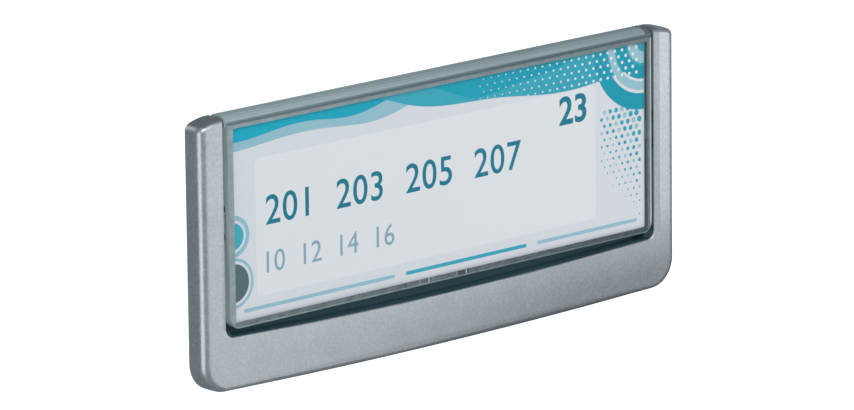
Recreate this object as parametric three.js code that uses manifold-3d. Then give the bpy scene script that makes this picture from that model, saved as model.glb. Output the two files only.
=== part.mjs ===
import * as THREE from 'three';
import Module from 'manifold-3d';

// Door sign with a press-to-open clear window.  Millimetres, +Z up, front faces -Y,
// the wall plane is Y = 0 and the origin is the centre of the back plate's rear face.

// ---- driving dimensions -------------------------------------------------
const HALF_W = 85.65;           // half of the outer width
const Z_TOP = 37.2;             // top of the side rails, at their inner edge
const Z_BOT = -37.25;           // lowest point of the bottom edge
const BOT_R = 2500;             // radius of the gently bowed bottom edge
const CROWN_R = 17, CROWN_X = 78.2;   // the rails' tops fall away outwards on this radius
const TOP_CORNER = 2.2;
const BOT_CORNER = 8.2;
const Y_FACE = -6.0;            // front plane of the rails and the bottom bar
const EDGE_ARCS = [[0, 8, 5, 2], [8, 90, 2.1, 12]];   // from deg, to deg, radius, steps
const EDGE_BOT = 0.7;           // height of the bottom's rounding over the sides'
const WALL = 1.8;               // shell wall of the housing
const RIM = 1.0;                // thinner rear rim that surrounds the back plate
const GAP = 0.3;                // clearance between neighbouring pieces

const OPEN_HALF = 77.6;         // half-width of the window opening
const OPEN_BOT = -23.05;        // lip of the finger scoop at the centre
const OPEN_BOW = 0.00028;
const OPEN_CORNER = 2.4, DEEP_CORNER = 5.2;   // corner radius at the face, and further in
const DISH_SIDE = 2.2, DISH_D = 0.22;   // shallow slope along both rails
const CHEEK = 1.5;              // wall around the opening
const CHEEK_BACK = -1.7;

const WIN_HALF = 76.4;          // half-width of the clear window
const WIN_BOT = -19.5, WIN_TOP = 35.2;
const WIN_FRONT = -6.42, WIN_BACK = -5.5;
const WIN_CORNER = 3.2;
const SIDE_RIM = 1.7, BOT_RIM = 1.2;
const RIM_BACK = -4.1;
const LIP_TOP = 37.4, LIP_UNDER = 36.0, LIP_BACK = -0.3, LIP_HALF = 77.0;

const CARD_W = 148.8, CARD_H = 52.2, CARD_T = 0.3;
const CARD_Z = 8.1, CARD_FRONT = -5.4;

const PIVOT_Y = -2.65, PIVOT_Z = 9.0;   // rocking axis of the window
const LUG_H = 5.0, LUG_OUT = 77.4, LUG_FRONT = -5.15, LUG_BACK = -3.5;
const CLIP_H = 9.4, CLIP_IN = 76.75, CLIP_OUT = 78.3, CLIP_FRONT = -5.1, CLIP_BACK = -2.1;
const TRUNNION_R = 0.55, TRUNNION_END = 81.0;
const NOTCH_H = 11.2, NOTCH_OUT = 78.7, NOTCH_FRONT = -5.45;
const BOSS_OUT = 81.9;

const PLATE_T = 1.6, PLATE_TOP = 35.6;
const SLOT_X = 52, SLOT_Z = 9, SLOT_W = 4.6, SLOT_L = 9.0;
const PAD_W = 34, PAD_H = 12, PAD_T = 0.7;
const PADS = [[-54, 25.5], [54, 25.5], [-54, -25], [54, -25]];

const SPRING_HALF = 8.4, SPRING_Y = -2.55, SPRING_Z = -7.0, SPRING_R = 0.6, SPRING_T = 0.5;
const EAR_IN = 8.8, EAR_OUT = 10.6, EAR_FRONT = -3.5, EAR_H = 3.6;

// curve of the window's lip in the side view
const TOP_CURVE = (top, inset = 0, n = 9) => Array.from({ length: n + 1 }, (_, i) => {
  const a = (72 - 72 * i / n) * Math.PI / 180;
  return [-2.75 - (3.22 - inset) * Math.sin(a), 35.15 + (top - inset - 35.15) * Math.cos(a)];
});

// ---- solid helpers ------------------------------------------------------
const wasm = await Module();
wasm.setup();
const { Manifold, Mesh } = wasm;

function solid(points, tris) {
  let volume = 0;
  for (const [a, b, c] of tris) {
    const [p, q, r] = [points[a], points[b], points[c]];
    volume += p[0] * (q[1] * r[2] - q[2] * r[1]) - p[1] * (q[0] * r[2] - q[2] * r[0])
      + p[2] * (q[0] * r[1] - q[1] * r[0]);
  }
  const triVerts = volume > 0 ? tris.flat() : tris.map(([a, b, c]) => [a, c, b]).flat();
  return new Manifold(new Mesh({
    numProp: 3,
    vertProperties: new Float32Array(points.flat()),
    triVerts: new Uint32Array(triVerts),
  }));
}

// Rings of equal length, each a closed outline, joined into one closed body.
// flat(p) gives the two coordinates in which the end outlines are triangulated.
function loft(rings, flat) {
  const n = rings[0].length;
  const tris = [];
  for (let k = 0; k + 1 < rings.length; k++) {
    for (let i = 0; i < n; i++) {
      const a = k * n + i, b = k * n + (i + 1) % n;
      tris.push([a, b, b + n], [a, b + n, a + n]);
    }
  }
  // an end outline in ring order closes the last ring, and reversed the first
  const cap = (ring, base, inOrder) => {
    const outline = ring.map((p) => new THREE.Vector2(...flat(p)));
    for (const corners of THREE.ShapeUtils.triangulateShape(outline, [])) {
      const [a, b, c] = corners.map((i) => base + i).sort((p, q) => p - q);
      tris.push(inOrder ? [a, b, c] : [a, c, b]);
    }
  };
  cap(rings[0], 0, false);
  cap(rings[rings.length - 1], (rings.length - 1) * n, true);
  return solid(rings.flat(), tris);
}

const xz = (p) => [p[0], p[2]];
const prismY = (outline, y0, y1) =>
  loft([outline.map(([x, z]) => [x, y0, z]), outline.map(([x, z]) => [x, y1, z])], xz);
const prismX = (outline, x0, x1) =>
  loft([outline.map(([y, z]) => [x0, y, z]), outline.map(([y, z]) => [x1, y, z])], (p) => [p[1], p[2]]);
const box = (x0, x1, y0, y1, z0, z1) => prismY([[x0, z0], [x1, z0], [x1, z1], [x0, z1]], y0, y1);
const rodX = (x0, x1, y, z, r, n = 32) => prismX(
  Array.from({ length: n }, (_, i) => [y + r * Math.cos(2 * Math.PI * i / n), z + r * Math.sin(2 * Math.PI * i / n)]), x0, x1);
const mirror = (s) => s.mirror([1, 0, 0]);
const arc = (cx, cz, rx, rz, a0, a1, n) => Array.from({ length: n + 1 }, (_, i) => {
  const a = (a0 + (a1 - a0) * i / n) * Math.PI / 180;
  return [cx + rx * Math.cos(a), cz + rz * Math.sin(a)];
});

// ---- outlines in the front view ----------------------------------------
const bottomZ = (x) => Z_BOT + x * x / (2 * BOT_R);

// Outline of the housing, pulled in at the sides, the top and the bottom.
// flatten lets the fall of the rails' tops grow weaker as the top is pulled in.
function frameOutline(side, top = side, bottom = side, flatten = 0, n = 12) {
  const dx = HALF_W - TOP_CORNER - CROWN_X;
  const dz = Math.sqrt((CROWN_R - TOP_CORNER) ** 2 - dx * dx);
  const turn = Math.atan2(dz, dx) * 180 / Math.PI;
  const crown = [
    ...arc(CROWN_X, Z_TOP - CROWN_R, CROWN_R, CROWN_R, 90, turn, 5).slice(0, -1),
    ...arc(HALF_W - TOP_CORNER, Z_TOP - CROWN_R + dz, TOP_CORNER, TOP_CORNER, turn, 0, n - 4),
  ].map(([x, z]) => [CROWN_X + (x - CROWN_X) * (1 - side / (HALF_W - CROWN_X)), Z_TOP - top - (Z_TOP - z) * (1 - flatten * top)]);
  const cx = HALF_W - BOT_CORNER, cz = bottomZ(cx) + BOT_CORNER;
  const right = [...crown, ...arc(cx, cz, BOT_CORNER - side, BOT_CORNER - bottom, 0, -88.3, n)];
  const bow = [];
  for (let i = 1; i < 20; i++) {
    const x = cx * (1 - i / 10);
    bow.push([x, bottomZ(x) + bottom]);
  }
  const left = right.map(([x, z]) => [-x, z]).reverse();
  return [...right, ...bow, ...left];
}

// The rounded front edge as [inset from the side, distance behind the face], face first.
function edgeProfile() {
  const rad = Math.PI / 180;
  const pts = [[0, 0]];
  for (const [from, to, r, steps] of EDGE_ARCS) {
    const [s0, d0] = pts[pts.length - 1];
    for (let i = 1; i <= steps; i++) {
      const a = from + (to - from) * i / steps;
      pts.push([s0 + r * (Math.sin(a * rad) - Math.sin(from * rad)), d0 + r * (Math.cos(from * rad) - Math.cos(a * rad))]);
    }
  }
  const reach = pts[pts.length - 1][0];
  return pts.map(([s, d]) => [reach - s, d]);
}

// How far the top edge lies below Z_TOP at a distance behind the face.
function topInset(depth) {
  const at = (y) => 1.65 * (1 - Math.sqrt(Math.max(0, 1 - ((y + 2.75) / 3.22) ** 2)));
  const y = Y_FACE + depth;
  return y > -2.75 ? 0 : y < -5.81 ? at(-5.81) + 1.6 * (-5.81 - y) : at(y);
}

function openingOutline(side, bottom = side, r = OPEN_CORNER + side, n = 10) {
  const cx = OPEN_HALF + side - r;
  const cz = OPEN_BOT + OPEN_BOW * cx * cx - bottom + r;
  const right = [[OPEN_HALF + side, 60], ...arc(cx, cz, r, r, 0, -87.6, n)];
  const bow = [];
  for (let i = 1; i < 20; i++) {
    const x = cx * (1 - i / 10);
    bow.push([x, OPEN_BOT + OPEN_BOW * x * x - bottom]);
  }
  return [...right, ...bow, ...right.map(([x, z]) => [-x, z]).reverse()];
}

function windowOutline(inset, n = 7) {
  const r = WIN_CORNER;
  const right = [
    [WIN_HALF - inset, WIN_TOP - inset],
    ...arc(WIN_HALF - r, WIN_BOT + r, r - inset, r - inset, 0, -90, n),
  ];
  return [...right, ...right.map(([x, z]) => [-x, z]).reverse()];
}

// ---- housing: U-shaped shell with a bottom bar and two rails ------------
function housing() {
  const rings = edgeProfile().concat([[0, 2.5], [0, 2.9], [0, 3.25], [0, -0.1 - Y_FACE]])
    .map(([inset, depth]) => frameOutline(inset, topInset(depth), EDGE_BOT * inset, 0.42)
      .map(([x, z]) => [x, Y_FACE + depth, z]));
  let body = loft(rings, xz);

  // window opening: a shallow slope along the rails, a softened lower edge, and corners that close in with depth
  const opening = [
    [-0.3, DISH_SIDE + 0.6, 0.5, 5.2], [0, DISH_SIDE, 0.32, 4.2], [DISH_D * 0.3, DISH_SIDE * 0.6, 0.2, 3.7],
    [DISH_D, 0.22, 0.08, 2.7], [DISH_D + 0.08, 0.06, 0.05, OPEN_CORNER], [DISH_D + 0.25, 0, 0, OPEN_CORNER],
    [1.9, 0, 0, DEEP_CORNER], [7, 0, 0, DEEP_CORNER],
  ].map(([depth, side, bottom, r]) => openingOutline(side, bottom, r).map(([x, z]) => [x, Y_FACE + depth, z]));
  body = body.subtract(loft(opening, xz));

  // hollow behind the face, keeping a wall around the opening
  const keep = prismY(openingOutline(CHEEK, CHEEK, DEEP_CORNER + CHEEK), -8, CHEEK_BACK);
  const hollow = prismY(frameOutline(WALL, WALL + 0.2), Y_FACE + WALL, 1).subtract(keep);
  const seat = prismY(frameOutline(RIM), CHEEK_BACK, 1);
  body = body.subtract(hollow).subtract(seat);

  // pivot bosses behind the rails, notched and bored for the pivot clips
  let boss = box(OPEN_HALF + CHEEK - 0.4, BOSS_OUT, Y_FACE + WALL - 0.2, CHEEK_BACK, PIVOT_Z - 7.1, PIVOT_Z + 7.1);
  let notch = box(OPEN_HALF - 1, NOTCH_OUT, NOTCH_FRONT, 1, PIVOT_Z - NOTCH_H / 2, PIVOT_Z + NOTCH_H / 2);
  let bore = rodX(OPEN_HALF, BOSS_OUT + 0.5, PIVOT_Y, PIVOT_Z, TRUNNION_R + 0.05);
  body = body.add(boss).add(mirror(boss));

  // pockets for the plate's snap tabs
  for (const s of [-1, 1]) {
    for (const z of [22, -10]) {
      body = body.subtract(box(...[s * (HALF_W - WALL - 0.2), s * (HALF_W - 0.9)].sort((a, b) => a - b), -4.1, -2.7, z - 3.5, z + 3.5));
    }
    body = body.subtract(box(s * 45 - 3.5, s * 45 + 3.5, -4.1, -2.7, bottomZ(45) + WALL - 0.9, bottomZ(45) + WALL + 0.4));
  }
  return body.subtract(notch).subtract(mirror(notch)).subtract(bore).subtract(mirror(bore));
}

// ---- back plate ---------------------------------------------------------
function stadium(x, z, length, width, grow, y0, y1) {
  const r = width / 2 + grow, h = (length - width) / 2;
  return prismY([...arc(x + h, z, r, r, -90, 90, 10), ...arc(x - h, z, r, r, 90, 270, 10)], y0, y1);
}

function backPlate() {
  const outline = frameOutline(RIM + GAP).map(([x, z]) => [x, Math.min(z, PLATE_TOP)]);
  // drop the repeated points that the flat top leaves in the corners
  const clean = outline.filter(([x, z], i) => {
    const [px, pz] = outline[(i + outline.length - 1) % outline.length];
    return Math.hypot(x - px, z - pz) > 1e-6;
  });
  let plate = prismY(clean, -PLATE_T, 0);
  for (const s of [-1, 1]) {
    plate = plate.subtract(stadium(s * SLOT_X, SLOT_Z, SLOT_L, SLOT_W, 0, -3, 1));
    plate = plate.subtract(stadium(s * SLOT_X, SLOT_Z, SLOT_L, SLOT_W, 1.9, -3, -PLATE_T + 0.5));
  }
  for (const [x, z] of PADS) {
    plate = plate.subtract(box(x - PAD_W / 2 - GAP, x + PAD_W / 2 + GAP, -PAD_T - 0.1, 1, z - PAD_H / 2 - GAP, z + PAD_H / 2 + GAP));
  }
  // two ears that carry the rolled root of the spring tongue
  const ear = prismX([[-PLATE_T + 0.2, SPRING_Z - EAR_H / 2 - 0.8], [-PLATE_T + 0.2, SPRING_Z + EAR_H / 2 + 0.8],
    [EAR_FRONT + 0.5, SPRING_Z + EAR_H / 2], [EAR_FRONT, SPRING_Z + EAR_H / 2 - 0.6],
    [EAR_FRONT, SPRING_Z - EAR_H / 2 + 0.6], [EAR_FRONT + 0.5, SPRING_Z - EAR_H / 2]], EAR_IN, EAR_OUT)
    .subtract(rodX(EAR_IN - 1, EAR_OUT + 1, SPRING_Y, SPRING_Z, SPRING_R + 0.05));
  plate = plate.add(ear).add(mirror(ear));
  // snap tabs: an upright leg with a hook that sits in the housing's pocket
  for (const s of [-1, 1]) {
    for (const z of [22, -10]) {
      const xs = (a, b) => [s * a, s * b].sort((p, q) => p - q);
      plate = plate.add(box(...xs(HALF_W - 3.2, HALF_W - 2.2), -3.8, -PLATE_T + 0.2, z - 3, z + 3));
      plate = plate.add(box(...xs(HALF_W - 2.5, HALF_W - 1.3), -3.8, -3.0, z - 3, z + 3));
    }
    const wall = bottomZ(45) + WALL;
    plate = plate.add(box(s * 45 - 3, s * 45 + 3, -3.8, -PLATE_T + 0.2, wall + 0.4, wall + 1.4));
    plate = plate.add(box(s * 45 - 3, s * 45 + 3, -3.8, -3.0, wall - 0.5, wall + 0.8));
  }
  return plate;
}

// ---- clear window: front sheet, rim, top lip, pivot lugs ----------------
function clearWindow() {
  const sheet = loft([[WIN_FRONT, 0.3], [WIN_FRONT + 0.09, 0.13], [WIN_FRONT + 0.3, 0], [WIN_BACK, 0]]
    .map(([y, inset]) => windowOutline(inset).map(([x, z]) => [x, y, z])), xz);
  const inner = [
    [WIN_HALF - SIDE_RIM, 60], ...arc(WIN_HALF - SIDE_RIM - 0.8, WIN_BOT + BOT_RIM + 0.8, 0.8, 0.8, 0, -90, 3)];
  const tray = prismY([...inner, ...inner.map(([x, z]) => [-x, z]).reverse()], WIN_BACK, 1);
  let rim = prismY(windowOutline(0), WIN_BACK - 0.2, RIM_BACK).subtract(tray);
  // notch in the bottom rim that the spring tongue's tip sits in
  rim = rim.subtract(box(-SPRING_HALF - GAP, SPRING_HALF + GAP, -4.9, 0, -21, -17));

  // lip that wraps over the top edge, drawn in the side view, with rounded ends
  const section = (inset) => [...TOP_CURVE(LIP_TOP, inset), [LIP_BACK - 0.35, LIP_TOP - inset],
    [LIP_BACK, LIP_TOP - 0.3 - inset], [LIP_BACK, LIP_UNDER], [-3.3, LIP_UNDER], [-4.1, 35.75],
    [-4.8, 35.3], [-5.1, 34.9], [WIN_BACK, 34.6], [WIN_BACK - 0.1, 34.6]];
  const ends = [[0, 0.5], [0.13, 0.25], [0.32, 0.07], [0.55, 0]].map(([x, inset]) => [x - LIP_HALF, inset]);
  const lip = loft([...ends, ...ends.map(([x, inset]) => [-x, inset]).reverse()]
    .map(([x, inset]) => section(inset).map(([y, z]) => [x, y, z])), (p) => [p[1], p[2]]);

  const lug = box(WIN_HALF - 0.5, LUG_OUT, LUG_FRONT, LUG_BACK, PIVOT_Z - LUG_H / 2, PIVOT_Z + LUG_H / 2);
  return sheet.add(rim).add(lip).add(lug).add(mirror(lug));
}

// ---- pivot clip: a fork open to the front, with a trunnion --------------
function pivotClip() {
  const web = CLIP_BACK - 1.1, h = CLIP_H / 2, in_ = LUG_H / 2 + GAP;
  const fork = [
    [CLIP_BACK, PIVOT_Z - h + 0.7], [CLIP_BACK, PIVOT_Z + h - 0.7], [CLIP_BACK - 0.7, PIVOT_Z + h],
    [CLIP_FRONT + 0.4, PIVOT_Z + h], [CLIP_FRONT, PIVOT_Z + h - 0.4], [CLIP_FRONT, PIVOT_Z + in_ + 0.3],
    [CLIP_FRONT + 0.3, PIVOT_Z + in_], [web, PIVOT_Z + in_], [web, PIVOT_Z - in_],
    [CLIP_FRONT + 0.3, PIVOT_Z - in_], [CLIP_FRONT, PIVOT_Z - in_ - 0.3], [CLIP_FRONT, PIVOT_Z - h + 0.4],
    [CLIP_FRONT + 0.4, PIVOT_Z - h], [CLIP_BACK - 0.7, PIVOT_Z - h]];
  return prismX(fork, CLIP_IN, CLIP_OUT).add(rodX(CLIP_OUT - 0.3, TRUNNION_END, PIVOT_Y, PIVOT_Z, TRUNNION_R));
}

// ---- click spring: a tongue that hangs from its rolled root -------------
function clickSpring() {
  const path = [[SPRING_Y, SPRING_Z], [-2.6, -8.2], [-2.85, -10.5], [-3.2, -13], [-3.65, -15.2], [-4.1, -17], [-4.32, -18], [-4.35, -19.2]];
  const left = [], right = [];
  path.forEach(([y, z], i) => {
    const [ay, az] = path[Math.max(0, i - 1)], [by, bz] = path[Math.min(path.length - 1, i + 1)];
    const len = Math.hypot(by - ay, bz - az), ny = (bz - az) / len, nz = -(by - ay) / len;
    left.push([y - ny * SPRING_T / 2, z - nz * SPRING_T / 2]);
    right.push([y + ny * SPRING_T / 2, z + nz * SPRING_T / 2]);
  });
  const tongue = prismX([...left, ...right.reverse()], -SPRING_HALF, SPRING_HALF);
  return tongue.add(rodX(-SPRING_HALF - 2.0, SPRING_HALF + 2.0, SPRING_Y, SPRING_Z, SPRING_R));
}

// ---- assembly -----------------------------------------------------------
function toMesh(name, body, colour, extra = {}) {
  const { numProp, vertProperties, triVerts } = body.getMesh();
  const geometry = new THREE.BufferGeometry();
  const position = new Float32Array(vertProperties.length / numProp * 3);
  for (let i = 0; i < position.length / 3; i++) {
    for (let k = 0; k < 3; k++) position[3 * i + k] = vertProperties[numProp * i + k];
  }
  geometry.setAttribute('position', new THREE.BufferAttribute(position, 3));
  geometry.setIndex(new THREE.BufferAttribute(new Uint32Array(triVerts), 1));
  geometry.computeVertexNormals();
  const mesh = new THREE.Mesh(geometry, new THREE.MeshStandardMaterial({ color: colour, ...extra }));
  mesh.name = name;
  return mesh;
}

const root = new THREE.Group();
root.name = 'door_sign';
root.add(toMesh('housing_frame', housing(), 0xb4b8bb, { metalness: 0.6, roughness: 0.4 }));
root.add(toMesh('back_plate', backPlate(), 0x2c3438, { roughness: 0.6 }));
root.add(toMesh('clear_window', clearWindow(), 0xcfdcd9, { roughness: 0.1, transparent: true, opacity: 0.35 }));
root.add(toMesh('insert_card', box(-CARD_W / 2, CARD_W / 2, CARD_FRONT, CARD_FRONT + CARD_T,
  CARD_Z - CARD_H / 2, CARD_Z + CARD_H / 2), 0xf2f4f4, { roughness: 0.8 }));
const clip = pivotClip();
root.add(toMesh('pivot_clip_right', clip, 0x1b1f21, { roughness: 0.6 }));
root.add(toMesh('pivot_clip_left', mirror(clip), 0x1b1f21, { roughness: 0.6 }));
root.add(toMesh('click_spring', clickSpring(), 0x3a4042, { roughness: 0.5 }));
PADS.forEach(([x, z], i) => {
  root.add(toMesh(`foam_pad_${i + 1}`, box(x - PAD_W / 2, x + PAD_W / 2, -PAD_T, 0, z - PAD_H / 2, z + PAD_H / 2),
    0xe6e3da, { roughness: 0.9 }));
});

export default root;
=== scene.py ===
import math

import bmesh
import bpy
from mathutils import Matrix, Vector


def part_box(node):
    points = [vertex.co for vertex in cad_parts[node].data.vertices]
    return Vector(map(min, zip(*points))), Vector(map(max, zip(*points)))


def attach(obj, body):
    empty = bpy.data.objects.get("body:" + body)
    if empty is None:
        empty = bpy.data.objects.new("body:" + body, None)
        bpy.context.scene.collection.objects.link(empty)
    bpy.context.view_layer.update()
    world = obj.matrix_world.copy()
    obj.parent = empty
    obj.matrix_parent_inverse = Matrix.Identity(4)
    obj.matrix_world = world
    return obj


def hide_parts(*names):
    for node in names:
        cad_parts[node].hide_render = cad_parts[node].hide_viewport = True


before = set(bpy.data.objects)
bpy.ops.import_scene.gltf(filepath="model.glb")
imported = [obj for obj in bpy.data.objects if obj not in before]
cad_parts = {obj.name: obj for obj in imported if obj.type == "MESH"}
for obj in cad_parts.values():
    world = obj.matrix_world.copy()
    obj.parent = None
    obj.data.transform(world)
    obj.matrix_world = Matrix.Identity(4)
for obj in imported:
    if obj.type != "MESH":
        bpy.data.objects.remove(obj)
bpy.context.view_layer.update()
MM = 0.001
col = bpy.context.scene.collection


# ---------------------------------------------------------------- materials
def material(name):
    m = bpy.data.materials.new(name)
    m.use_nodes = True
    nt = m.node_tree
    nt.nodes.clear()
    out = nt.nodes.new("ShaderNodeOutputMaterial")
    bsdf = nt.nodes.new("ShaderNodeBsdfPrincipled")
    nt.links.new(bsdf.outputs[0], out.inputs[0])
    return m, nt, bsdf


def node(nt, kind, **values):
    n = nt.nodes.new(kind)
    for k, v in values.items():
        if k in n.inputs:
            n.inputs[k].default_value = v
        else:
            setattr(n, k, v)
    return n


def noise(nt, coords, scale, detail=3.0, rough=0.55):
    n = node(nt, "ShaderNodeTexNoise")
    n.inputs["Scale"].default_value = scale
    n.inputs["Detail"].default_value = detail
    n.inputs["Roughness"].default_value = rough
    nt.links.new(coords, n.inputs["Vector"])
    return n.outputs["Fac"]


def stretched(nt, coords, scale):
    m = node(nt, "ShaderNodeMapping")
    m.inputs["Scale"].default_value = scale
    nt.links.new(coords, m.inputs["Vector"])
    return m.outputs[0]


def along(nt, coords, axis, start, end):
    """0 to 1 between two places on one axis of the object, in millimetres."""
    s = node(nt, "ShaderNodeSeparateXYZ")
    nt.links.new(coords, s.inputs[0])
    r = node(nt, "ShaderNodeMapRange")
    r.inputs["From Min"].default_value = start * MM
    r.inputs["From Max"].default_value = end * MM
    nt.links.new(s.outputs["XYZ".index(axis)], r.inputs["Value"])
    return r.outputs[0]


def ramp(nt, fac, stops):
    r = node(nt, "ShaderNodeValToRGB")
    e = r.color_ramp.elements
    while len(e) < len(stops):
        e.new(0.5)
    for el, (pos, c) in zip(e, stops):
        el.position = pos
        el.color = (*c, 1.0) if len(c) == 3 else c
    nt.links.new(fac, r.inputs[0])
    return r.outputs[0]


def grey(v):
    return (v, v, v)


def scaled(colour, k):
    return tuple(min(1.0, c * k) for c in colour)


def bump(nt, bsdf, height, strength, distance):
    b = node(nt, "ShaderNodeBump")
    b.inputs["Strength"].default_value = strength
    b.inputs["Distance"].default_value = distance
    nt.links.new(height, b.inputs["Height"])
    nt.links.new(b.outputs[0], bsdf.inputs["Normal"])


def mix(nt, fac, a, b, blend="MIX"):
    m = node(nt, "ShaderNodeMix")
    m.data_type = "RGBA"
    m.blend_type = blend
    if isinstance(fac, float):
        m.inputs[0].default_value = fac
    else:
        nt.links.new(fac, m.inputs[0])
    for sock, v in ((m.inputs[6], a), (m.inputs[7], b)):
        if isinstance(v, tuple):
            sock.default_value = (*v, 1.0)
        else:
            nt.links.new(v, sock)
    return m.outputs[2]


def moulded(name, colour, rough, metallic=0.0, grain=900.0, grain_depth=0.00001, mottle=0.04, cloud=0.02, ior=1.5, painted_falloff=None):
    """Moulded plastic: a fine grain in the surface and a slow, faint change of tone. If a far colour is given, the tone
    is also painted darker towards the bottom and the right: painted shade for the lamps' fall-off.
    """
    m, nt, bsdf = material(name)
    co = node(nt, "ShaderNodeTexCoord").outputs["Object"]
    fine = noise(nt, co, grain, 3.0, 0.7)
    slow = noise(nt, co, grain / 9.0, 3.0)
    a = ramp(nt, fine, [(0.34, scaled(colour, 1 - mottle)), (0.66, scaled(colour, 1 + mottle))])
    b = ramp(nt, slow, [(0.35, grey(1 - cloud)), (0.65, grey(1.0))])
    tone = mix(nt, 1.0, a, b, "MULTIPLY")
    # painted shade: the tone darkens towards the bottom and towards the right
    if painted_falloff:
        low = along(nt, co, "Z", -12.0, -32.0)
        far = mix(nt, along(nt, co, "X", -80.0, 50.0), grey(1.0), painted_falloff)
        tone = mix(nt, 1.0, tone, mix(nt, low, grey(1.0), far), "MULTIPLY")
    nt.links.new(tone, bsdf.inputs["Base Color"])
    r = ramp(nt, fine, [(0.3, grey(rough - 0.04)), (0.7, grey(rough + 0.05))])
    nt.links.new(r, bsdf.inputs["Roughness"])
    bsdf.inputs["Metallic"].default_value = metallic
    bsdf.inputs["IOR"].default_value = ior
    bump(nt, bsdf, fine, 0.35, grain_depth)
    return m


# the silver shell's tone is painted darker towards the lower right, as painted shade
silver = moulded("silver_shell", (0.54, 0.56, 0.585), 0.36, metallic=0.80, grain=1300.0, grain_depth=0.00002, mottle=0.12, cloud=0.06, painted_falloff=(0.535, 0.56, 0.58))
# a darker copy of the silver: painted shade for the right rail's slope and the rails' tops
silver_painted_shade = moulded("silver_shell_painted_shade", (0.36, 0.38, 0.40), 0.36, metallic=0.80, grain=1300.0, grain_depth=0.00002, mottle=0.12, cloud=0.06)
# dark teal stand-ins for the silver of the shaded scoop: painted shade, the second one darker for its right corner
scoop_painted_shade = moulded("silver_shell_scoop_painted_shade", (0.050, 0.125, 0.145), 0.60, metallic=0.2, grain=1300.0, mottle=0.10)
scoop_corner_painted_shade = moulded("silver_shell_corner_painted_shade", (0.022, 0.060, 0.070), 0.60, metallic=0.2, grain=1300.0, mottle=0.10)
dark = moulded("dark_plate", (0.024, 0.078, 0.094), 0.65, grain=1500.0, mottle=0.12)
black = moulded("black_acetal", (0.010, 0.026, 0.030), 0.48, grain=1800.0, mottle=0.15)


def clear(name, left, right, alpha, rough=0.1, streak=0.1, stretch=(18.0, 900.0, 900.0), depth=0.000004, painted_glow=0.0):
    """Clear acrylic, seen through by alpha so that what lies behind keeps its light. The colour runs from the left
    colour to the right one across the sign;
    where they differ this is painted light and shade. The emission is painted light that stands for the light the sheet
    carries to its edges."""
    m, nt, bsdf = material(name)
    co = node(nt, "ShaderNodeTexCoord").outputs["Object"]
    flow = noise(nt, stretched(nt, co, stretch), 1.0, 4.0, 0.65)
    tone = mix(nt, along(nt, co, "X", -76.0, 76.0), left, right)
    lines = ramp(nt, flow, [(0.36, grey(1 - streak)), (0.64, grey(1.0))])
    shade = mix(nt, 1.0, tone, lines, "MULTIPLY")
    nt.links.new(shade, bsdf.inputs["Base Color"])
    nt.links.new(shade, bsdf.inputs["Emission Color"])
    bsdf.inputs["Emission Strength"].default_value = painted_glow
    bsdf.inputs["Roughness"].default_value = rough
    bsdf.inputs["IOR"].default_value = 1.49
    bsdf.inputs["Alpha"].default_value = alpha
    bump(nt, bsdf, flow, 0.15, depth)
    return m


# Several of these carry painted light: the rim, side, lip, bottom rim and lower edge colours are painted darker to the
# right; the side and lip also glow as painted light; the bottom rim is painted dark as painted shade; the lower edge
# colour is a painted highlight along the window's bottom edge.
GLASS = [
    clear("clear_pane", (0.10, 0.12, 0.12), (0.10, 0.12, 0.12), 0.02, 0.04, 0.03),
    clear("clear_rim", (0.32, 0.38, 0.40), (0.13, 0.18, 0.19), 0.93, 0.25, 0.22, (260.0, 260.0, 600.0)),
    clear("clear_side", (0.190, 0.245, 0.262), (0.105, 0.15, 0.16), 1.0, 0.30, 0.25, (500.0, 500.0, 60.0), painted_glow=0.7),
    # painted highlight for the window's edges, brighter to the right
    clear("clear_painted_highlight_edge", (0.34, 0.41, 0.42), (0.52, 0.59, 0.60), 0.95, 0.20, 0.12, (120.0, 300.0, 120.0)),
    clear("clear_lip", (0.385, 0.485, 0.50), (0.325, 0.405, 0.425), 0.97, 0.30, 0.30, (9.0, 1300.0, 1300.0), 0.00001, 0.10),
    # painted shadow line where the pane's front meets the lip; also laid on the lugs' fronts and on upward bevels
    clear("clear_lip_painted_shade_line", (0.20, 0.27, 0.29), (0.15, 0.20, 0.22), 0.97, 0.25, 0.2),
    clear("clear_bottom_rim", (0.16, 0.215, 0.225), (0.050, 0.082, 0.09), 0.97, 0.25, 0.45, (420.0, 420.0, 900.0)),
    clear("clear_lower_edge", (0.34, 0.41, 0.42), (0.13, 0.17, 0.18), 0.97, 0.25, 0.30, (300.0, 300.0, 600.0)),
    clear("clear_shade", (0.030, 0.050, 0.056), (0.030, 0.050, 0.056), 1.0, 0.35, 0.20, (400.0, 400.0, 400.0)),
    # the sheet's inner side walls, made lighter and glowing: painted light where they would lie in shade
    clear("clear_inner_wall_painted_light", (0.20, 0.25, 0.26), (0.20, 0.25, 0.26), 1.0, 0.30, 0.20, (500.0, 500.0, 60.0), painted_glow=0.35),
]
PANE, RIM, SIDE, PAINTED_HIGHLIGHT, LIP, PAINTED_SHADE_LINE, LOWER, LOWER_EDGE, SHADE, GLOWING_WALL = range(10)


# ---------------------------------------------------------------- helpers
def link(name, mesh, body, *mats):
    o = bpy.data.objects.new(name, mesh)
    col.objects.link(o)
    for m in mats:
        mesh.materials.append(m)
    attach(o, body)
    return o


def finish_mesh(bm, name, degrees=30.0):
    """Write a mesh whose faces are smooth, with hard edges where it turns by more than the angle."""
    bmesh.ops.recalc_face_normals(bm, faces=bm.faces)
    limit = math.radians(degrees)
    for e in bm.edges:
        e.smooth = len(e.link_faces) == 2 and e.calc_face_angle(0.0) < limit
    for f in bm.faces:
        f.smooth = True
    mesh = bpy.data.meshes.new(name)
    bm.to_mesh(mesh)
    bm.free()
    return mesh


def flat_normals_first(o):
    """Let large flat faces keep their own direction, so that only the curves shade round."""
    w = o.modifiers.new("weights", "WEIGHTED_NORMAL")
    w.mode = "FACE_AREA"
    w.weight = 60
    w.keep_sharp = True


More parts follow.
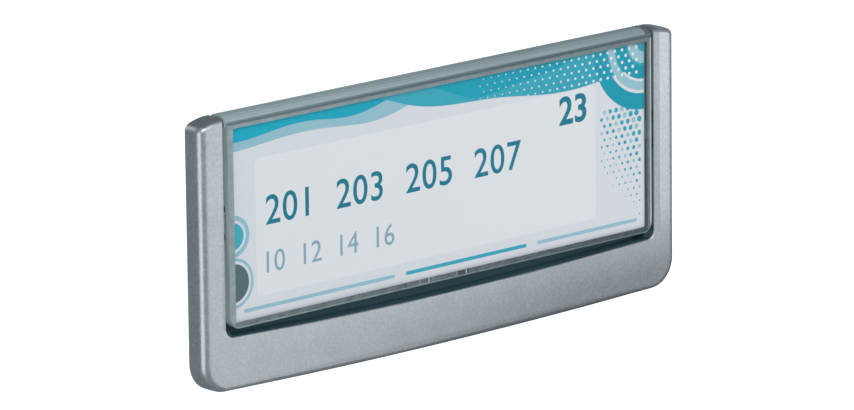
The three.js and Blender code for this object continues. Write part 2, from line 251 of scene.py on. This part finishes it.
def copy_of(node_name, name, body, mats, pick=None, cuts=(), dissolve=0.4, angle=30.0, weighted=True):
    """A detailed piece that starts from a CAD node's own shape and stands for it."""
    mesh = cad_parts[node_name].data.copy()
    mesh.materials.clear()
    mesh.name = name
    bm = bmesh.new()
    bm.from_mesh(mesh)
    bmesh.ops.remove_doubles(bm, verts=bm.verts, dist=1e-7)
    bmesh.ops.dissolve_limit(bm, angle_limit=math.radians(dissolve), verts=bm.verts, edges=bm.edges)
    for axis, at, test in cuts:
        faces = [f for f in bm.faces if test(f.calc_center_median() / MM, f.normal)]
        edges = list({e for f in faces for e in f.edges})
        verts = list({v for f in faces for v in f.verts})
        place, normal = [0.0, 0.0, 0.0], [0.0, 0.0, 0.0]
        place["XYZ".index(axis)], normal["XYZ".index(axis)] = at * MM, 1.0
        bmesh.ops.bisect_plane(bm, geom=faces + edges + verts, dist=1e-7, plane_co=place, plane_no=normal)
    limit = math.radians(angle)
    for e in bm.edges:
        e.smooth = len(e.link_faces) == 2 and e.calc_face_angle(0.0) < limit
    for f in bm.faces:
        f.smooth = True
        f.material_index = pick(f) if pick else 0
    bm.to_mesh(mesh)
    bm.free()
    mesh.attributes.remove(mesh.attributes["custom_normal"]) if "custom_normal" in mesh.attributes else None
    o = link(name, mesh, body, *mats)
    if weighted:
        flat_normals_first(o)
    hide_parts(node_name)
    return o


# ---------------------------------------------------------------- housing, plate, clips, spring
def housing_part(f):
    """Picks each face's material: the floor and lower corners of the scoop under the window get dark teal painted
    shade, darkest at the right corner, and the right rail's slope and the rails' tops get a darker copy of the silver
    as painted shade."""
    c, n = f.calc_center_median() / MM, f.normal
    # the right rail's slope: painted shade
    if 77.5 < c.x < 80.0 and c.y < -5.7 and n.x < -0.03 and n.y < -0.5 and c.z > -22.0:
        return 2
    # the rails' tops: painted shade
    if c.z > 33.0 and n.z > 0.8 and c.x < 79.5:
        return 2
    # the scoop's floor and lower corners: painted shade, darker at the right corner
    if -5.72 < c.y < -1.65 and abs(c.x) < 77.75 and -24.2 < c.z < -16.0:
        return 3 if c.x > 72.0 else 1
    return 0


copy_of("housing_frame", "housing_frame_visual", "housing", [silver, scoop_painted_shade, silver_painted_shade, scoop_corner_painted_shade], housing_part, angle=24.0)
copy_of("back_plate", "back_plate_visual", "housing", [dark])
copy_of("pivot_clip_left", "pivot_clip_left_visual", "pivot_clips", [black])
copy_of("pivot_clip_right", "pivot_clip_right_visual", "pivot_clips", [black])
copy_of("click_spring", "click_spring_visual", "spring_tongue", [black])

# ---------------------------------------------------------------- clear window
WALL_X, EDGE_X, SHEET_Z0, SHEET_Z1 = 74.7, 75.65, -17.7, 34.0


# strips of painted shade and painted highlight on the lower rim, for the snap catch seen through it
CATCH_MARKS = [(-15.35, -14.8, SHADE), (-10.1, -9.8, RIM), (-6.9, -6.5, PAINTED_HIGHLIGHT), (-5.3, -5.05, RIM), (3.3, 3.7, RIM),
               (3.9, 6.4, SHADE), (6.72, 7.1, PAINTED_HIGHLIGHT), (7.1, 7.7, SHADE)]


def on_front(c, n):
    return n.y < -0.95 and c.y < -6.35


def on_lower_strip(c, n):
    return on_front(c, n) and SHEET_Z0 - 1.25 < c.z < SHEET_Z0


# Picks the glass material of each face; most of these colours carry painted light or shade, as listed at the materials.
def window_part(f):
    c = f.calc_center_median() / MM
    n = f.normal
    if c.z > 35.25 or (c.y > -6.0 and c.z > 34.3):
        if n.z < -0.3 or c.y > -0.4:
            return SIDE
        # the lip's ends: the left one gets the painted highlight colour
        if abs(c.x) > 76.4 or abs(n.x) > 0.8:
            return PAINTED_HIGHLIGHT if c.x < 0 else SIDE
        # the foot of the lip: a painted shadow line
        if c.z < 35.9:
            return PAINTED_SHADE_LINE
        if c.x > WALL_X:
            return RIM
        return LIP
    if on_front(c, n):
        # painted highlight along the window's right front edge
        if c.x > EDGE_X:
            return PAINTED_HIGHLIGHT
        if abs(c.x) > WALL_X:
            return RIM
        if c.z > SHEET_Z1:
            return RIM
        if c.z < SHEET_Z0 - 1.25:
            return LOWER_EDGE
        if c.z < SHEET_Z0:
            # marks of the snap catch that show through the lower rim, painted in as shade and highlight strips
            for x0, x1, kind in CATCH_MARKS:
                if x0 < c.x < x1:
                    return kind
            return LOWER
        return PANE
    if c.y < -6.1 and n.y < -0.2:
        # the front bevels: upward ones get the painted shadow line colour, downward ones the painted lower-edge
        # highlight, the rest the painted highlight
        return PAINTED_SHADE_LINE if n.z > 0.1 else LOWER_EDGE if n.z < -0.2 and abs(c.x) < 73.0 else PAINTED_HIGHLIGHT
    # the lugs' front faces: painted shade, like the gap line beside them
    if abs(c.x) > 76.3 and 6.0 < c.z < 12.0 and n.y < -0.5:
        return PAINTED_SHADE_LINE
    if abs(c.x) > 76.0:
        return SIDE
    # the inner side walls: painted light
    if abs(n.x) > 0.8 and abs(c.x) > 74.0:
        return GLOWING_WALL
    if n.y > 0.9 and -5.6 < c.y < -5.4:
        return PANE
    if c.z < -19.0 and n.z < -0.5:
        return SIDE
    return RIM


front_cuts = [("X", -WALL_X, on_front), ("X", WALL_X, on_front), ("X", EDGE_X, on_front), ("Z", SHEET_Z0, on_front),
              ("Z", SHEET_Z0 - 1.25, on_front), ("Z", SHEET_Z1, on_front)]
front_cuts += [("X", x, on_lower_strip) for x in sorted({x for x0, x1, _ in CATCH_MARKS for x in (x0, x1)})]
upper = lambda c, n: c.z > 35.0 or (c.y > -6.0 and c.z > 34.3)
lip_cuts = [("X", WALL_X, upper), ("Z", 35.9, upper)]
copy_of("clear_window", "clear_window_visual", "window", GLASS, window_part, front_cuts + lip_cuts)

# ---------------------------------------------------------------- card
card_lo, card_hi = (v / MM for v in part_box("insert_card"))


def card_material(name, left, right, spread=0.02):
    m, nt, bsdf = material(name)
    co = node(nt, "ShaderNodeTexCoord").outputs["Object"]
    fibre = noise(nt, co, 2600.0, 4.0, 0.6)
    tone = mix(nt, along(nt, co, "X", -74.0, 74.0), left, right)
    lines = ramp(nt, fibre, [(0.3, grey(1 - spread)), (0.7, grey(1.0))])
    nt.links.new(mix(nt, 1.0, tone, lines, "MULTIPLY"), bsdf.inputs["Base Color"])
    bsdf.inputs["Roughness"].default_value = 0.55
    bsdf.inputs["Specular IOR Level"].default_value = 0.25
    bump(nt, bsdf, fibre, 0.2, 0.000004)
    return m


def ink(name, rgb, spread=0.06, rgb2=None):
    return card_material(name, rgb, rgb2 or rgb, spread)


paper = card_material("printed_card", (0.80, 0.815, 0.86), (0.815, 0.82, 0.855))
panel_ink = ink("ink_panel", (0.875, 0.877, 0.90), 0.015)
teal_ink = ink("ink_teal", (0.002, 0.46, 0.62), rgb2=(0.002, 0.36, 0.50))
mid_ink = ink("ink_mid_teal", (0.06, 0.48, 0.60), rgb2=(0.03, 0.42, 0.55))
pale_ink = ink("ink_pale_blue", (0.34, 0.60, 0.69), rgb2=(0.38, 0.62, 0.72))
slate_ink = ink("ink_slate", (0.105, 0.18, 0.205))
deep_ink = ink("ink_deep_teal", (0.004, 0.22, 0.32))
soft_ink = ink("ink_soft_blue", (0.30, 0.46, 0.57))

bm = bmesh.new()
x0, x1, y0, y1, z0, z1 = card_lo.x, card_hi.x, card_lo.y, card_hi.y, card_lo.z, card_hi.z
r, corner = 0.6, []
for cx, cz, a0 in ((x1 - r, z1 - r, 0), (x0 + r, z1 - r, 90), (x0 + r, z0 + r, 180), (x1 - r, z0 + r, 270)):
    for i in range(5):
        a = math.radians(a0 + 22.5 * i)
        corner.append((cx + r * math.cos(a), cz + r * math.sin(a)))
front = [bm.verts.new(Vector((x, y0, z)) * MM) for x, z in corner]
rear = [bm.verts.new(Vector((x, y1, z)) * MM) for x, z in corner]
bm.faces.new(front)
bm.faces.new(rear[::-1])
for i in range(len(corner)):
    j = (i + 1) % len(corner)
    bm.faces.new((front[i], rear[i], rear[j], front[j]))
card = link("insert_card_visual", finish_mesh(bm, "insert_card_visual"), "insert", paper)
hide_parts("insert_card")

LAYER = 0.012


def print_shapes(name, outlines, layer, mat):
    """Printed shapes: thin closed pieces that lie on the card, in millimetres in the front view."""
    bm = bmesh.new()
    near, far = card_lo.y - LAYER * layer, card_lo.y - 0.002
    for pts in outlines:
        clipped = []
        for x, z in pts:
            q = (min(max(x, card_lo.x + 0.02), card_hi.x - 0.02), min(max(z, card_lo.z + 0.02), card_hi.z - 0.02))
            if not clipped or math.dist(q, clipped[-1]) > 1e-4:
                clipped.append(q)
        if len(clipped) > 2 and math.dist(clipped[0], clipped[-1]) < 1e-4:
            clipped.pop()
        if len(clipped) < 3:
            continue
        a = [bm.verts.new(Vector((x, near, z)) * MM) for x, z in clipped]
        b = [bm.verts.new(Vector((x, far, z)) * MM) for x, z in clipped]
        bm.faces.new(a)
        bm.faces.new(b[::-1])
        for i in range(len(a)):
            j = (i + 1) % len(a)
            bm.faces.new((a[i], b[i], b[j], a[j]))
    return link(name, finish_mesh(bm, name), "insert", mat)


def print_band(name, low, layer, mat):
    """A printed band between the card's top edge and a lower line of points."""
    bm = bmesh.new()
    near, far, edge = card_lo.y - LAYER * layer, card_lo.y - 0.002, card_hi.z - 0.02
    low = [(min(max(x, card_lo.x + 0.02), card_hi.x - 0.02), min(z, edge - 0.05)) for x, z in low]
    cols = [[bm.verts.new(Vector(q) * MM) for q in ((x, near, edge), (x, near, z), (x, far, z), (x, far, edge))]
            for x, z in low]
    for a, b in zip(cols, cols[1:]):
        for i in range(4):
            j = (i + 1) % 4
            bm.faces.new((a[i], b[i], b[j], a[j]))
    bm.faces.new(cols[0])
    bm.faces.new(cols[-1][::-1])
    return link(name, finish_mesh(bm, name), "insert", mat)


def circle(x, z, r, n=24, a0=0.0, a1=360.0):
    steps = n if a1 - a0 < 360 else n - 1
    return [(x + r * math.cos(math.radians(a0 + (a1 - a0) * i / n)), z + r * math.sin(math.radians(a0 + (a1 - a0) * i / n)))
            for i in range(steps + 1)]


def ring(x, z, r0, r1, a0, a1, n=20):
    return circle(x, z, r1, n, a0, a1) + circle(x, z, r0, n, a0, a1)[::-1]


def rounded(x0, x1, z0, z1, r, n=6):
    pts = []
    for cx, cz, a0 in ((x1 - r, z1 - r, 0), (x0 + r, z1 - r, 90), (x0 + r, z0 + r, 180), (x1 - r, z0 + r, 270)):
        pts += [(cx + r * math.cos(math.radians(a0 + 90 * i / n)), cz + r * math.sin(math.radians(a0 + 90 * i / n)))
                for i in range(n + 1)]
    return pts


def wave(x0, x1, top, base, swing, length, phase, ease0=0.0, ease1=0.0, n=70):
    """A band that hangs from the top edge and ends below in a slow wave; it thins out over ease0 and ease1."""
    low = []
    for i in range(n + 1):
        x = x0 + (x1 - x0) * i / n
        z = base + swing * math.sin(2 * math.pi * x / length + phase)
        k = min(1.0, (x - x0) / ease0 if ease0 else 1.0, (x1 - x) / ease1 if ease1 else 1.0)
        k = math.sin(math.pi / 2 * k)
        low.append((x, top + 0.01 - (top - z) * k))
    return [(x, z) for x, z in low if z < top - 0.08]


top = card_hi.z
print_band("card_wave_pale", wave(-74.4, 2.0, top, 28.2, 0.8, 58.0, 0.6, 0, 34), 1, pale_ink)
print_band("card_wave_teal", wave(-74.4, -14.0, top, 30.8, 0.9, 46.0, 2.2, 0, 26), 2, teal_ink)
print_band("card_wave_mid", wave(-24.0, 74.4, top, 26.0, 1.3, 66.0, 0.4, 40, 0), 3, mid_ink)
print_band("card_wave_deep", wave(-6.0, 50.0, top, 29.2, 1.0, 40.0, 2.6, 20, 22), 4, teal_ink)
print_shapes("card_rings_teal", [ring(74.4, 34.2, 7.0, 10.5, 180, 270), ring(74.4, 34.2, 14.5, 19.0, 180, 270)], 5, teal_ink)
print_shapes("card_rings_pale", [ring(74.4, 34.2, 3.0, 6.2, 180, 270), ring(74.4, 34.2, 11.2, 13.6, 180, 270)], 6, pale_ink)
dots, small = [], []
for row in range(17):
    for k in range(7):
        x = 72.6 - 2.2 * k - (1.1 if row % 2 else 0.0)
        z = 16.5 - 1.9 * row
        size = 0.92 - 0.045 * row - 0.055 * k
        if size > 0.2:
            (dots if (row + k) % 3 else small).append(circle(x, z, size, 10))
print_shapes("card_dots_teal", dots, 2, mid_ink)
print_shapes("card_dots_pale", small, 2, pale_ink)
specks = []
for row in range(5):
    for k in range(22):
        x = 71.5 - 2.7 * k - (1.35 if row % 2 else 0.0)
        z = 32.9 - 1.75 * row
        size = 0.52 - 0.017 * k
        if size > 0.16:
            specks.append(circle(x, z, size, 8))
print_shapes("card_dots_white", specks, 7, panel_ink)
print_shapes("card_disc_slate", [circle(-74.4, -7.5, 5.2, 24, -90, 90)], 2, slate_ink)
print_shapes("card_disc_teal", [circle(-74.4, 5.0, 3.6, 20, -90, 90)], 2, mid_ink)
print_shapes("card_disc_pale", [ring(-74.4, 5.0, 4.4, 5.6, -90, 90), ring(-74.4, -7.5, 6.0, 6.8, -90, 90)], 2, pale_ink)
print_shapes("card_line_pale", [rounded(-71.0, -18.0, -15.9, -14.9, 0.45), rounded(34.0, 71.5, -15.9, -14.9, 0.45)], 2, pale_ink)
print_shapes("card_line_teal", [rounded(-14.0, 30.0, -15.9, -14.9, 0.45)], 2, mid_ink)
print_shapes("card_panel", [rounded(-66.5, 56.0, -12.4, 24.6, 2.0)], 1, panel_ink)


def printed_number(name, text, x, z, height, mat, layer=3, spread=1.0, bold=0.0):
    """Plain figures in the stock typeface, standing on the line z."""
    c = bpy.data.curves.new(name + "_curve", "FONT")
    c.body = text
    c.size = 1.0
    c.space_character = spread
    c.offset = bold
    c.resolution_u = 6
    o = bpy.data.objects.new(name + "_curve", c)
    col.objects.link(o)
    bpy.context.view_layer.update()
    src = bpy.data.meshes.new_from_object(o.evaluated_get(bpy.context.evaluated_depsgraph_get()))
    bpy.data.objects.remove(o)
    ys = [v.co.y for v in src.vertices]
    xs = [v.co.x for v in src.vertices]
    k = height / (max(ys) - min(ys))
    bm = bmesh.new()
    bm.from_mesh(src)
    bmesh.ops.remove_doubles(bm, verts=bm.verts, dist=1e-5)
    near, far = card_lo.y - LAYER * layer, card_lo.y - 0.002
    for v in bm.verts:
        v.co = Vector((x + (v.co.x - min(xs)) * k, near, z + (v.co.y - min(ys)) * k)) * MM
    out = bmesh.ops.extrude_face_region(bm, geom=list(bm.faces))
    for v in out["geom"]:
        if isinstance(v, bmesh.types.BMVert):
            v.co.y = far * MM
    width = (max(xs) - min(xs)) * k
    return link(name, finish_mesh(bm, name), "insert", mat), width


printed_number("card_number_large", "201  203  205  207", -63.0, 6.2, 8.0, deep_ink, spread=1.06, bold=0.006)
printed_number("card_number_small", "10  12  14  16", -63.0, -6.6, 5.8, soft_ink, spread=1.0)
printed_number("card_number_floor", "23", 42.5, 15.4, 8.0, deep_ink, spread=1.02, bold=0.022)

# ---------------------------------------------------------------- foam pads
foam_m = moulded("foam_tape", (0.72, 0.71, 0.67), 0.85, grain=1400.0, grain_depth=0.00006, mottle=0.1)
for i in range(1, 5):
    lo, hi = (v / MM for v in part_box(f"foam_pad_{i}"))
    bm = bmesh.new()
    bmesh.ops.create_cube(bm, size=1.0)
    for v in bm.verts:
        v.co = Vector(((lo.x + hi.x) / 2 + v.co.x * (hi.x - lo.x), (lo.y + hi.y) / 2 + v.co.y * (hi.y - lo.y),
                       (lo.z + hi.z) / 2 + v.co.z * (hi.z - lo.z))) * MM
    bmesh.ops.bevel(bm, geom=list(bm.edges), offset=0.15 * MM, segments=2, affect="EDGES")
    pad = link(f"foam_pad_{i}_visual", finish_mesh(bm, f"foam_pad_{i}_visual", 40.0), "housing", foam_m)
    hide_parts(f"foam_pad_{i}")

# ---------------------------------------------------------------- camera
AZ, EL, ROLL = math.radians(-42.446481), math.radians(13.518893), math.radians(-0.659991)
DIST, FOCAL_PX, OX, OY = 1898.6902, 7140.6657, -4.58959, -6.97442
back = Vector((math.sin(AZ) * math.cos(EL), -math.cos(AZ) * math.cos(EL), math.sin(EL)))
right0 = Vector((math.cos(AZ), math.sin(AZ), 0.0))
up0 = back.cross(right0)
right = math.cos(ROLL) * right0 + math.sin(ROLL) * up0
up = -math.sin(ROLL) * right0 + math.cos(ROLL) * up0
place = (back * DIST + right * OX + up * OY + Vector((0.0, -5.6, 8.1))) * MM
cam = bpy.data.cameras.new("camera")
cam.sensor_width = 36.0
cam.lens = FOCAL_PX / 854.0 * 36.0
cam.clip_start, cam.clip_end = 0.01, 50.0
camera = bpy.data.objects.new("camera", cam)
col.objects.link(camera)
camera.matrix_world = Matrix((
    (right.x, up.x, back.x, place.x), (right.y, up.y, back.y, place.y), (right.z, up.z, back.z, place.z), (0, 0, 0, 1)))
bpy.context.scene.camera = camera


# ---------------------------------------------------------------- light
def soft_box(name, at, aim, size, power, colour=(1, 1, 1)):
    d = bpy.data.lights.new(name, "AREA")
    d.shape = "RECTANGLE"
    d.size, d.size_y = size
    d.energy = power
    d.color = colour
    o = bpy.data.objects.new(name, d)
    o.location = at
    o.rotation_euler = (Vector(aim) - Vector(at)).to_track_quat("-Z", "Y").to_euler()
    o.visible_camera = False
    col.objects.link(o)
    return o


soft_box("box_above", (-0.02, -0.95, 0.60), (0, 0, 0), (1.2, 0.9), 8.6)
soft_box("box_right_near", (0.222, -0.335, -0.075), (-0.05, 0, 0), (0.17, 0.24), 0.145)
soft_box("box_right_high", (0.268, -0.222, 0.0), (0.08, 0, 0.02), (0.08, 0.17), 0.075)
soft_box("box_left", (-0.72, -0.35, -0.15), (-0.05, -0.004, 0), (0.62, 0.70), 1.8)
soft_box("box_behind", (-0.41, 1.13, 0.50), (0, 0, 0), (0.9, 0.6), 2.0)

world = bpy.data.worlds.new("studio")
bpy.context.scene.world = world
world.use_nodes = True
wt = world.node_tree
wt.nodes.clear()
wo = wt.nodes.new("ShaderNodeOutputWorld")
bg_light = wt.nodes.new("ShaderNodeBackground")
bg_light.inputs[0].default_value = (0.78, 0.96, 1.03, 1)
bg_light.inputs[1].default_value = 0.24
wt.links.new(bg_light.outputs[0], wo.inputs[0])

# pale floor, well below the sign, curving up into a backdrop
bm = bmesh.new()
profile = [(-6.0, -0.75), (3.6, -0.75)] + [
    (3.6 + 1.2 * math.sin(math.radians(a)), 0.45 - 1.2 * math.cos(math.radians(a))) for a in range(0, 91, 9)] + [(4.8, 4.0)]
rows = [[bm.verts.new((x, y, z)) for y, z in profile] for x in (-6.0, 6.0)]
for i in range(len(profile) - 1):
    bm.faces.new((rows[0][i], rows[1][i], rows[1][i + 1], rows[0][i + 1]))
mesh = bpy.data.meshes.new("floor")
bm.to_mesh(mesh)
bm.free()
floor = bpy.data.objects.new("floor", mesh)
col.objects.link(floor)
fm, fnt, fb = material("pale_floor")
fb.inputs["Base Color"].default_value = (0.95, 0.95, 0.95, 1)
fb.inputs["Roughness"].default_value = 0.9
fb.inputs["Emission Color"].default_value = (1, 1, 1, 1)
fb.inputs["Emission Strength"].default_value = 1.0
mesh.materials.append(fm)
# the backdrop is what the camera sees behind the sign; the soft boxes light the sign
floor.visible_glossy = False
floor.visible_diffuse = False

bpy.context.scene.view_settings.view_transform = "Standard"
bpy.context.scene.view_settings.look = "None"
